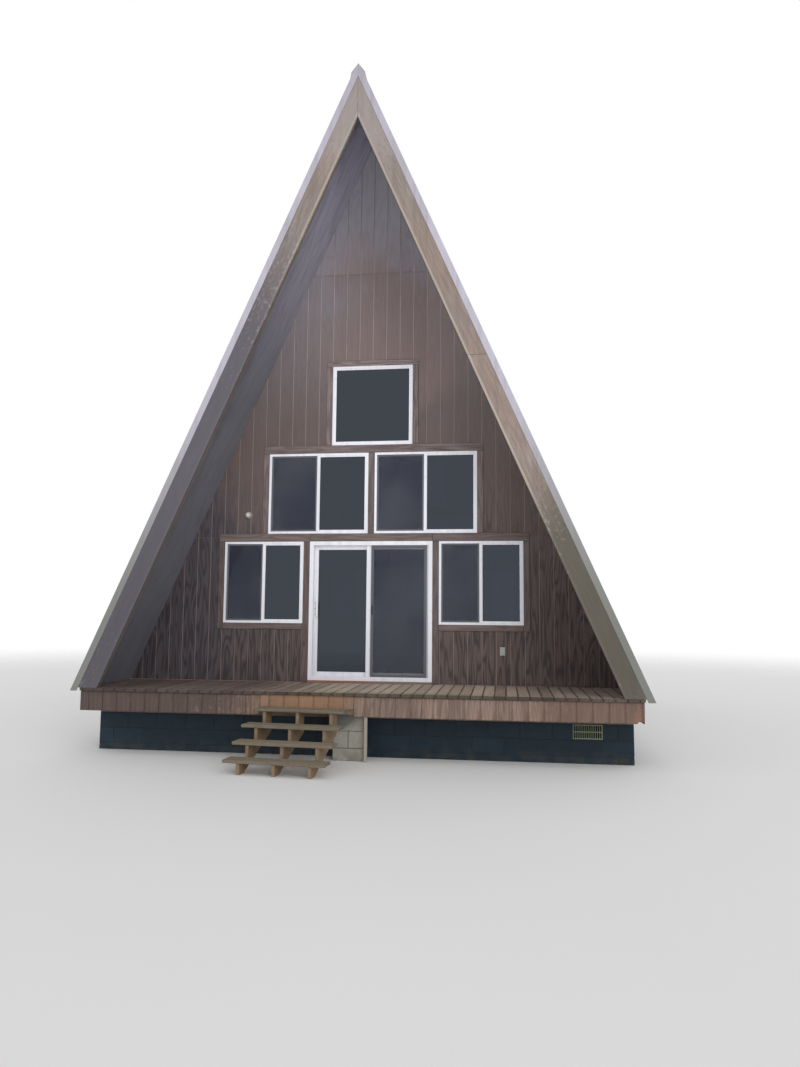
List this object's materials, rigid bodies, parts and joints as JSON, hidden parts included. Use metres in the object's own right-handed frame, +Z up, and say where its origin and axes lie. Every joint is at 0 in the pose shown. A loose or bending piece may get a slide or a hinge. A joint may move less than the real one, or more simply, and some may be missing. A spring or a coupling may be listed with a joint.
{
  "type": "a-frame cabin",
  "caption": "Steep a-frame cabin on a raised timber platform, with a glazed recessed gable, a sliding patio door and open plank steps",
  "frame": {"origin": "the middle of the cabin's footprint, at the lowest ground contact", "axes": "the front with the porch and steps faces -Y, +X is to the right as seen from the front, +Z is up, and the ridge runs along Y"},
  "size_m": [7.5006, 10.2792, 9.348],
  "materials": {
    "block_dark": "painted concrete block, dark blue-grey",
    "block_grey": "bare concrete block",
    "vent_cream": "cream-green paint",
    "post_wood": "weathered softwood",
    "frame_wood": "sawn framing timber",
    "floor_wood": "boarded floor",
    "deck_wood": "weathered deck boards",
    "skirt_wood": "stained grooved siding",
    "siding_brown": "stained grooved plywood",
    "roof_core": "timber roof deck on rafters",
    "roof_metal": "pale grey coated sheet",
    "trim_metal": "pale grey coated trim",
    "rake_wood": "weathered boards",
    "soffit_dark": "dark stained sheet",
    "casing_brown": "stained flat boards",
    "white_frame": "white window section",
    "glass": "clear double glazing",
    "sill_wood": "worn reddish sill",
    "screen_grey": "grey coated frame",
    "screen_mesh": "grey insect mesh",
    "fitting_plastic": "pale grey cover",
    "lamp_pale": "weathered pale paint",
    "stringer_wood": "orange-tan sawn board",
    "stair_wood": "weathered planks"
  },
  "bodies": {
    "cabin": {"foundation_front": "block_dark", "foundation_rear": "block_dark", "foundation_sides": "block_dark", "foundation_vent": "vent_cream", "pier": "block_grey", "pier_post": "post_wood", "sill_timbers": "frame_wood", "floor_frame": "frame_wood", "room_floor": "floor_wood", "porch_deck": "deck_wood", "skirt_front": "skirt_wood", "skirt_sides": "skirt_wood", "front_wall_left": "siding_brown", "front_wall_right": "siding_brown", "front_wall_upper": "siding_brown", "rear_wall_lower": "siding_brown", "rear_wall_upper": "siding_brown", "roof_left": "roof_core", "roof_right": "roof_core", "roofing_left": "roof_metal", "roofing_right": "roof_metal", "ridge_cap": "roof_metal", "rake_boards_front": "rake_wood", "rake_boards_rear": "rake_wood", "rake_rafters": "rake_wood", "rake_trims": "trim_metal", "soffits": "soffit_dark", "casing_front": "casing_brown", "casing_rear": "casing_brown", "window_frames_front": "white_frame", "window_glass_front": "glass", "window_frames_rear": "white_frame", "window_glass_rear": "glass", "door_sill": "sill_wood", "door_frame": "white_frame", "fixed_leaf": "white_frame", "fixed_glass": "glass", "outlet_cover": "fitting_plastic", "porch_light": "lamp_pale", "stair_stringers": "stringer_wood", "stair_treads": "stair_wood"},
    "door": {"door_leaf": "white_frame", "door_glass": "glass"},
    "screen": {"screen_frame": "screen_grey", "screen_mesh": "screen_mesh"}
  },
  "joints": [
    {"name": "door_slide", "type": "slide", "parent": "cabin", "child": "door", "axis": [1, 0, 0], "range_m": [0, 0.715]},
    {"name": "screen_slide", "type": "slide", "parent": "cabin", "child": "screen", "axis": [1, 0, 0], "range_m": [-0.87, 0]}
  ]
}
